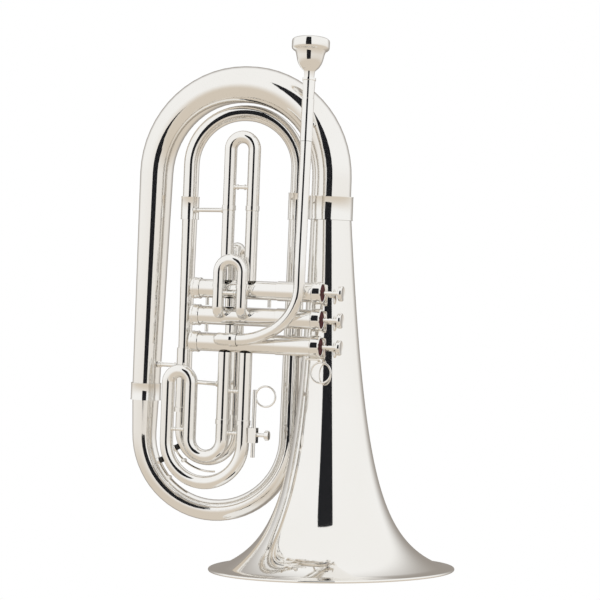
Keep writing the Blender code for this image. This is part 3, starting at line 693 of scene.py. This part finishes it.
@dataclass
class Valves:
    """Three casings with their caps, buttons and felts.

    The outlines are of (radius, place along the valve) in millimetres, from the centre of the cap's mouth.
    """

    heights: tuple = (-97.5, -125.8, -154.1)
    sides: int = 56
    casing: tuple = ((9.8, -134.6), (9.8, -41.6), (10.4, -41.2), (10.4, 5.0), (8.7, 5.0), (8.7, -134.6))
    bottom_cap: tuple = ((0, -136.8), (8.6, -136.8), (8.9, -136.2), (10.3, -136.2), (11.1, -135.6),
                         (11.3, -134.9), (11.3, -133.2), (10.9, -132.8), (10.9, -128.4), (11.3, -128.0),
                         (11.3, -127.2), (10.9, -126.7), (10.1, -126.7), (10.1, -134.9), (0, -134.9))
    top_cap: tuple = ((10.7, -2.4), (11.2, -2.4), (11.6, -1.8), (11.6, 4.6), (11.3, 5.2), (11.3, 6.6),
                      (10.7, 7.4), (9.8, 7.7), (9.2, 7.4), (9.2, 5.3), (10.7, 5.3))
    button: tuple = ((0, 24.6), (2.9, 24.6), (3.2, 25.4), (7.2, 25.4), (7.95, 25.8), (8.15, 26.6),
                     (8.15, 28.6), (7.9, 29.4), (7.2, 29.9), (6.6, 29.7), (5.4, 29.3), (2.8, 29.1), (0, 29.1))
    felt: tuple = ((2.3, 5.3), (8.9, 5.3), (8.9, 6.5), (8.5, 6.9), (2.7, 6.9), (2.3, 6.6))
    posts: tuple = ((-119.7, -50.6), (-119.5, -26))
    post_radius: float = 1.9
    links: tuple = (-94, -92.5)
    link_radius: float = 5.6
    below: float = 9.5
    above_post: float = 10.7
    above_link: float = 10.1
    spring_span: tuple = (-133.3, -106.0)
    spring_radius: float = 6.6
    spring_wire: float = 0.5
    spring_turns: int = 7
    spring_steps: int = 16
    spring_sides: int = 8
    spring_keep: float = 0.45

    def build(self, bench: Bench) -> None:
        """Model and seat the valve sets."""
        for number, height in enumerate(self.heights, start=1):
            casing = self.turn(bench, f"casing_{number}", self.casing, height)
            if number < len(self.heights):
                casing = bench.joined(casing.name, [casing, *self.bridge(bench, number, height)])
            bench.seat(casing, f"valve_casing_{number}")
            for name, node, outline in (("bottom_cap_shell", "bottom_cap", self.bottom_cap),
                                        ("top_cap_shell", "top_cap", self.top_cap),
                                        ("button", "finger_button", self.button),
                                        ("felt", "valve_felt", self.felt)):
                bench.seat(self.turn(bench, f"{name}_{number}", outline, height), f"{node}_{number}")
            self.spring(bench, number, height)

    def turn(self, bench: Bench, name: str, outline: tuple, height: float) -> bpy.types.Object:
        """One turned piece on the axis of the valve at a height."""
        return bench.turned(name, outline, (0, FRONT, height), VALVEWARD, self.sides)

    def bridge(self, bench: Bench, number: int, height: float) -> list[bpy.types.Object]:
        """The posts and the link tube from one casing to the next.

        Args:
            bench: Where they are modelled.
            number: The upper casing.
            height: Its height in wrap millimetres.

        Returns:
            The objects.
        """
        high, low = height - self.below, self.heights[number]
        made = [bench.rod(f"post_{number}_{i}", (x, FRONT, high), (x, FRONT, low + self.above_post),
                          self.post_radius) for i, x in enumerate(self.posts[number - 1])]
        x = self.links[number - 1]
        made.append(bench.rod(f"link_{number}", (x, FRONT, high), (x, FRONT, low + self.above_link),
                              self.link_radius))
        return made

    def spring(self, bench: Bench, number: int, height: float) -> None:
        """The coil spring under a piston, with a mesh of its own.

        Args:
            bench: Where it is modelled.
            number: 1 to 3.
            height: The valve's height in wrap millimetres.
        """
        low, high = self.spring_span
        count = self.spring_turns * self.spring_steps
        points = []
        for i in range(count + 1):
            turn = 2 * math.pi * i / self.spring_steps
            points.append((low + (high - low) * i / count, FRONT + self.spring_radius * math.cos(turn),
                           height + self.spring_radius * math.sin(turn)))
        coil = bench.pipe(f"spring_coil_{number}", points, [0] * (count - 1), even(self.spring_wire),
                          self.spring_sides)
        bench.seat(coil, f"valve_spring_{number}")
        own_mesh(coil)


@dataclass(frozen=True)
class Sleeve:
    """A straight upright sleeve, in wrap millimetres, with a ring at one end or none."""

    x: float
    depth: float
    low: float
    high: float
    outer: float
    inner: float
    mouth: Mouth | None = None
    ring_proud: float = 0.7
    ring_height: float = 5.0
    ring_fillet: float = 0.4
    sides: int = 40

    def build(self, bench: Bench, name: str) -> bpy.types.Object:
        """Model the sleeve."""
        length, ring = self.high - self.low, self.outer + self.ring_proud
        foot, head = [(self.inner, 0), (self.outer, 0)], [(self.outer, length), (self.inner, length)]
        if self.mouth is Mouth.LOW:
            foot = [(self.inner, 0), (ring, 0), (ring, self.ring_height),
                    (self.outer, self.ring_height + self.ring_fillet)]
        elif self.mouth is Mouth.HIGH:
            head = [(self.outer, length - self.ring_height - self.ring_fillet),
                    (ring, length - self.ring_height), (ring, length), (self.inner, length)]
        return bench.turned(name, foot + head, (self.x, self.depth, self.low), UP, self.sides)


@dataclass
class Slides:
    """The tuning slide and the three valve slides with their sleeves, in wrap millimetres."""

    first_heights: tuple = (-76, -8.5, 63.6)
    second_heights: tuple = (-113, -91.3, -66.4)
    tuning_heights: tuple = (-183, -281)
    third_route: tuple = ((-74.6, -183), (-74.6, -240.9), (-74.6, -303.6), (-159.8, -303.6), (-159.8, -186.4),
                          (-134.4, -186.4), (-134.4, -275.8), (-97.4, -275.8), (-97.4, -240.9), (-97.4, -183))
    third_bends: tuple = (0, 42.58, 42.58, 12.68, 12.68, 18.48, 18.48, 0)

    def build(self, bench: Bench) -> None:
        """Model and seat slides and sleeves."""
        first = bench.pipe("first_slide_bow", hairpin(FIRST_LEGS, FIRST_DEPTH, self.first_heights),
                           (0, 13.08, 13.08, 0), Stepped(6.6, 5.6, 67.5))
        brace = bench.crossbar("first_brace", (-92.5, -77.7), FIRST_DEPTH, 10.6, 2.0, 3.2)
        bench.seat(bench.joined("first_slide_bow", [first, brace]), "first_slide")
        second = bench.pipe("second_slide_bow", hairpin(SECOND_LEGS, SECOND_DEPTH, self.second_heights),
                            (0, 12.88, 12.88, 0), Stepped(6.2, 5.3, 21.7))
        bench.seat(second, "second_slide")
        third = bench.pipe("third_slide_bow", [(x, FRONT, z) for x, z in self.third_route], self.third_bends,
                           Stepped(7.1, 6.1, 57.9))
        braces = [bench.crossbar("third_brace_a", (-91, -81), FRONT, -249.5, 1.6, 2.8),
                  bench.crossbar("third_brace_b", (-153.4, -140.8), FRONT, -248.6, 1.6, 2.8)]
        bench.seat(bench.joined("third_slide_bow", [third, *braces]), "third_slide")
        tuning = bench.pipe("tuning_slide_bow", hairpin(TUNING_LEGS, TUNING_DEPTH, self.tuning_heights),
                            (29.48, 29.48), even(6.95))
        bench.seat(tuning, "tuning_slide")
        self.sleeves(bench)

    def sleeves(self, bench: Bench) -> None:
        """Model and seat the sleeves, most with a ring at the mouth."""
        rows = {"first_sleeve": (FIRST_LEGS, FIRST_DEPTH, -87.8, -8.8, 6.6, 6.0, Mouth.HIGH),
                "tuning_sleeve": (TUNING_LEGS, TUNING_DEPTH, -232, -163, 8.3, 7.25, Mouth.LOW)}
        for kind, (legs, *shape) in rows.items():
            for node, x in zip((f"{kind}_left", f"{kind}_right"), legs):
                bench.seat(Sleeve(x, *shape).build(bench, f"{node}_tube"), node)
        pair = [Sleeve(x, FRONT, -240.6, -164, 7.1, 6.5, Mouth.LOW).build(bench, f"third_sleeve_{i}")
                for i, x in enumerate(THIRD_LEGS)]
        bar = bench.crossbar("third_sleeve_bar", (-90.8, -81.2), FRONT, -205, 1.6, 2.8)
        bench.seat(bench.joined("third_sleeves", [*pair, bar]), "third_slide_sleeves")
        legs = [bench.pipe(f"second_sleeve_{i}", [(x, SECOND_DEPTH, -91.6), (x, SECOND_DEPTH, -122.5),
                           (x, -53.2, -122.5)], [7], even(6.2)) for i, x in enumerate(SECOND_LEGS)]
        rings = [Sleeve(x, SECOND_DEPTH, -96, -91.6, 6.7, 6.2).build(bench, f"second_ring_{i}")
                 for i, x in enumerate(SECOND_LEGS)]
        bar = bench.crossbar("second_sleeve_bar", (-95.4, -81.4), SECOND_DEPTH, -101.2, 2.0, 3.0)
        bench.seat(bench.joined("second_sleeves", [*legs, *rings, bar]), "second_slide_sleeves")


@dataclass
class Mouthpiece:
    """The mouthpiece and the receiver that holds it.

    The outlines are of (radius, wrap height) in millimetres; the lip's heights are below the top.
    """

    wrap: Wrap
    top: float = 169.4
    receiver_top: float = 127.5
    collar_top: float = 105
    outside: tuple = ((4.6, 108), (5.1, 127), (5.6, 134), (6.3, 135.6), (7.9, 137), (10.1, 139.2),
                      (11.8, 142), (13.0, 144.5), (13.7, 147), (14.5, 150.4), (15.2, 153.5), (16.4, 156.4),
                      (18.6, 157.6), (19.6, 158.6), (20, 160))
    lip: tuple = ((20, 3.2), (19.6, 1.5), (18.6, 0.6), (17.3, 0.1), (16, 0), (14.6, 0.2), (13.6, 0.8),
                  (12.9, 1.8), (12.6, 3))
    inside: tuple = ((12.2, 158), (11.5, 153), (10.2, 149), (8, 145), (5.2, 141.5), (3.4, 139), (3.2, 133),
                     (4.0, 108))
    sides: int = 80

    def along(self, height: float) -> float:
        """The length from the leadpipe's joint to a wrap height."""
        return (height - self.wrap.receiver_foot) / -self.wrap.lead_down().z

    def build(self, bench: Bench) -> None:
        """Model and seat both."""
        collar, length, top = self.along(self.collar_top), self.along(self.receiver_top), self.along(self.top)
        receiver = [(6.45, PLAY), (6.45, collar), (6.0, collar + 0.6), (6.5, length - 6), (6.5, length - 3),
                    (7.15, length - 2.5), (7.15, length), (5.4, length), (5.4, PLAY)]
        cup = [(r, self.along(h)) for r, h in self.outside]
        cup += [(r, top - h) for r, h in self.lip]
        cup += [(r, self.along(h)) for r, h in self.inside]
        for node, name, outline in (("mouthpiece_receiver", "receiver", receiver),
                                    ("mouthpiece", "cup_mouthpiece", cup)):
            turned = bench.turned(name, outline, self.wrap.lead_joint(), -self.wrap.lead_down(), self.sides)
            bench.seat(turned, node)


@dataclass(frozen=True)
class WaterKey:
    """A water key on the outside of a bow: lengths in wrap millimetres, angles in degrees."""

    name: str
    bow: tuple
    skin: float
    cork: float
    pivot: float
    end: float
    pad: tuple = ((0, 0), (3.1, 0), (3.1, 2.9), (2.8, 3.3), (0, 3.3))
    pad_sides: int = 32
    standoff: float = 5
    lift: float = 2.4
    steps: int = 14
    arm: Taper = Taper(1.25, 1.0)
    arm_sides: int = 16
    barrel_radius: float = 2.0
    barrel_half: float = 4
    cup_radius: float = 3.6
    cup_span: tuple = (-1, 1.6)

    def at(self, turn: float, radius: float) -> Vector:
        """A point about the bow's centre."""
        return Vector(self.bow) + self.outward(turn) * radius

    @staticmethod
    def outward(turn: float) -> Vector:
        """The direction away from the bow's centre at an angle."""
        angle = math.radians(turn)
        return Vector((math.cos(angle), 0, math.sin(angle)))

    def build(self, bench: Bench) -> None:
        """Model and seat the pad, and the lever with its cup, its barrel and a lifted finger end."""
        pad = bench.turned(f"{self.name}_pad", self.pad, self.at(self.cork, self.skin + PLAY),
                           self.outward(self.cork), self.pad_sides)
        bench.seat(pad, f"{self.name}_cork")
        reach = self.skin + self.standoff
        points = []
        for i in range(self.steps + 1):
            turn = self.cork + (self.end - self.cork) * i / self.steps
            past = max(0.0, (turn - self.pivot) / (self.end - self.pivot))
            points.append(self.at(turn, reach + self.lift * past * past))
        arm = bench.pipe(f"{self.name}_arm", points, [0] * (len(points) - 2), self.arm, self.arm_sides)
        pivot, half = self.at(self.pivot, reach), Vector((0, self.barrel_half, 0))
        barrel = bench.rod(f"{self.name}_barrel", pivot - half, pivot + half, self.barrel_radius)
        start, end = (self.at(self.cork, reach + past) for past in self.cup_span)
        cup = bench.rod(f"{self.name}_cup", start, end, self.cup_radius)
        bench.seat(bench.joined(f"{self.name}_arm", [arm, barrel, cup]), f"{self.name}_lever")


@dataclass
class Fittings:
    """Stays, finger rings, thumb screw and water keys, in wrap millimetres."""

    screw: tuple = ((0, 0), (2.1, 0), (2.1, 10.2), (4.4, 10.2), (5.2, 10.8), (5.2, 14.2), (4.6, 14.8),
                    (0, 14.8))
    screw_base: tuple = (-60.2, FRONT, -250)
    screw_sides: int = 40
    keys: tuple = (WaterKey("tuning_water_key", (-126, -8, -251.5), 36.45, 209, 232, 283),
                   WaterKey("third_water_key", (-117.2, FRONT, -261), 49.7, 204, 226, 253))
    stay_radius: float = 2.2
    stay_flange: float = 1.6
    ring_radius: float = 10.8
    ring_wire: float = 1.0
    ring_segments: int = 64
    ring_sides: int = 16
    post_radius: float = 1.2

    def build(self, bench: Bench) -> None:
        """Model and seat the fittings."""
        self.stays(bench)
        self.rings(bench)
        bench.seat(bench.turned("thumb_screw_knob", self.screw, self.screw_base, VALVEWARD, self.screw_sides),
                   "thumb_screw")
        for key in self.keys:
            key.build(bench)

    def stays(self, bench: Bench) -> None:
        """Turned bars with round feet between the tubes."""
        plain = self.stay_radius
        for node, first, last, radii, height, radius in (
                ("stay_inner_leg_first_slide", INNER_LEG, (FIRST_LEGS[0], FIRST_DEPTH), (9.7, 6.6), -14,
                 plain),
                ("stay_big_tube_inner_leg", BIG_TUBE, INNER_LEG, (15.6, 8.3), -182.5, plain),
                ("stay_inner_leg_third_slide", INNER_LEG, (THIRD_LEGS[0], FRONT), (8.3, 7.1), -198.5, plain),
                ("stay_valves_riser", (-43.8, FRONT), RISER, (10.4, 10.2), -125.8, 2.8),
                ("stay_riser_bell", RISER, (6.6, 0), (10.2, 32.2), -165, plain)):
            start, end = Vector((*first, height)), Vector((*last, height))
            along = (end - start).normalized()
            bar = bench.rod(f"{node}_bar", start + along * (radii[0] + PLAY), end - along * (radii[1] + PLAY),
                            radius, radius * self.stay_flange)
            bench.seat(bar, node)
        bar = bench.rod("stay_leadpipe_bar", (-17.5, -34.0, 80), (-17.5, -20.9, 80), 2.0, 3.2)
        bench.seat(bar, "stay_leadpipe_top_bow")

    def rings(self, bench: Bench) -> None:
        """The fixed finger ring with its post, and the ring on the sliding rod."""
        fixed = self.ring("fixed_ring", (8.8, FRONT, -181))
        post = bench.pipe("fixed_ring_post", [(-8.2, FRONT, -164.8), (-8.2, FRONT, -167.2),
                          (8.8, FRONT, -167.2), (8.8, FRONT, -170.2)], [1, 2], even(self.post_radius),
                          self.ring_sides)
        bench.seat(bench.joined("fixed_ring", [fixed, post]), "fixed_finger_ring")
        sliding = self.ring("sliding_ring", (-50.7, FRONT, -209))
        rod = bench.rod("ring_shaft", (-62.7, FRONT, -274), (-62.7, FRONT, -202.5), self.stay_radius)
        bench.seat(bench.joined("sliding_ring", [sliding, rod]), "ring_rod")

    def ring(self, name: str, centre: Sequence) -> bpy.types.Object:
        """A finger ring of round wire.

        Args:
            name: The piece's name.
            centre: Its centre.

        Returns:
            The finished object.
        """
        bpy.ops.mesh.primitive_torus_add(major_radius=self.ring_radius * MM, minor_radius=self.ring_wire * MM,
                                         major_segments=self.ring_segments, minor_segments=self.ring_sides)
        piece = bpy.context.view_layer.objects.active
        piece.name = name
        return Bench.settle(piece, WRAP @ Matrix.Translation(Vector(centre) * MM) @ UPRIGHT)


@dataclass
class Studio:
    """Camera, surround, floor and a dark card for the reflections."""

    azimuth: float = math.radians(17)
    distance: float = 2.7
    height: float = 0.287
    aim: float = 0.033
    lens: float = 152.4
    sensor: float = 36
    white: tuple = (0.97, 0.97, 0.965, 1)
    beige: tuple = (0.70, 0.63, 0.54, 1)
    grey: tuple = (0.34, 0.31, 0.28, 1)
    beige_from: tuple = (0.20, -0.45)
    grey_from: tuple = (0.45, 1.0)
    floor_size: float = 8
    floor_drop: float = 0.6 * MM
    floor_colour: tuple = (0.80, 0.74, 0.66, 1)
    floor_roughness: float = 0.9
    card_azimuth: float = math.radians(3)
    card_distance: float = 1.9
    card_middle: float = 1.1
    card_size: tuple = (1.15, 2.3)
    card_colour: tuple = (0.010, 0.012, 0.018, 1)

    def build(self) -> None:
        """Make the whole studio."""
        self.camera()
        self.world()
        self.floor()
        self.card()

    def camera(self) -> None:
        """The camera, level, at the photograph's angle."""
        right = Vector((math.cos(self.azimuth), math.sin(self.azimuth), 0))
        forward = Vector((-math.sin(self.azimuth), math.cos(self.azimuth), 0))
        data = bpy.data.cameras.new("camera")
        data.lens = self.lens
        data.sensor_width = self.sensor
        camera = bpy.data.objects.new("camera", data)
        bpy.context.scene.collection.objects.link(camera)
        camera.location = Vector((BELL_X, 0, self.height)) - right * self.aim - forward * self.distance
        camera.rotation_euler = (math.pi / 2, 0, self.azimuth)
        bpy.context.scene.camera = camera

    def world(self) -> None:
        """A surround that is white above, beige below and grey behind, and pure white to the camera."""
        world = bpy.data.worlds.new("surround")
        bpy.context.scene.world = world
        world.use_nodes = True
        graph = Graph(world.node_tree)
        direction = Value(graph, graph.node("ShaderNodeTexCoord", {}, {}).outputs["Generated"])
        split = graph.node("ShaderNodeSeparateXYZ", {}, {0: direction})
        forward = (-math.sin(self.azimuth), math.cos(self.azimuth), 0)
        onward = graph.node("ShaderNodeVectorMath", {"operation": "DOT_PRODUCT"}, {0: direction, 1: forward})
        path = graph.node("ShaderNodeLightPath", {}, {})

        def share(source: bpy.types.NodeSocket, low: float, high: float) -> Value:
            """A smooth step from 0 at low to 1 at high."""
            inputs = {"Value": Value(graph, source), "From Min": low, "From Max": high}
            ramp = graph.node("ShaderNodeMapRange", {"interpolation_type": "SMOOTHSTEP"}, inputs)
            return Value(graph, ramp.outputs["Result"])

        colour = graph.blend(share(split.outputs["Z"], *self.beige_from), self.white, self.beige)
        colour = graph.blend(share(onward.outputs["Value"], *self.grey_from), colour, self.grey)
        colour = graph.blend(share(path.outputs["Is Camera Ray"], 0.0, 1.0), colour, PURE_WHITE)
        background = world.node_tree.nodes["Background"]
        graph.feed(background.inputs["Color"], colour)
        graph.feed(background.inputs["Strength"], 1.0)

    def floor(self) -> None:
        """A warm floor that reads white to the camera and is left out of mirror reflections."""
        bpy.ops.mesh.primitive_plane_add(size=self.floor_size, location=(BELL_X, 0, -self.floor_drop))
        floor = bpy.context.view_layer.objects.active
        floor.name = "studio_floor"
        finish = Finish("studio_floor")
        finish.set("Base Color", self.floor_colour)
        finish.set("Roughness", self.floor_roughness)
        seen = finish.node("ShaderNodeEmission", {}, {"Color": PURE_WHITE, "Strength": 1.0})
        path = finish.node("ShaderNodeLightPath", {}, {})
        mix = finish.node("ShaderNodeMixShader", {}, {0: Value(finish, path.outputs["Is Camera Ray"]),
                                                      1: Value(finish, finish.shader.outputs[0]),
                                                      2: Value(finish, seen.outputs[0])})
        surface = finish.tree.nodes["Material Output"].inputs["Surface"]
        finish.feed(surface, Value(finish, mix.outputs[0]))
        floor.data.materials.append(finish.material)
        floor.visible_glossy = False

    def card(self) -> None:
        """A dark card in front of the horn that only shows in reflections."""
        bpy.ops.mesh.primitive_plane_add(size=1)
        card = bpy.context.view_layer.objects.active
        card.name = "dark_card"
        facing = Matrix.Rotation(self.card_azimuth, 4, "Z")
        place = Matrix.Translation((0, -self.card_distance, self.card_middle)) @ UPRIGHT
        card.matrix_world = STAND @ facing @ place @ Matrix.Diagonal((*self.card_size, 1, 1))
        finish = Finish("dark_card")
        finish.set("Base Color", self.card_colour)
        finish.set("Roughness", 1.0)
        card.data.materials.append(finish.material)
        card.visible_camera = False
        card.visible_shadow = False
        card.visible_diffuse = False


def main() -> None:
    """Build the looks of the whole instrument."""
    logging.basicConfig(level=logging.INFO)
    for old in list(bpy.data.objects):
        bpy.data.objects.remove(old, do_unlink=True)
    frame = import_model()
    bpy.context.scene.view_settings.view_transform = "Standard"
    bench = Bench(frame)
    bench.dress_frame()
    Studio().build()
    wrap = Wrap()
    for part in (Bell(), wrap, Valves(), Slides(), Mouthpiece(wrap), Fittings()):
        part.build(bench)
        log.info("%s is built", type(part).__name__)


if __name__ == "__main__":
    main()
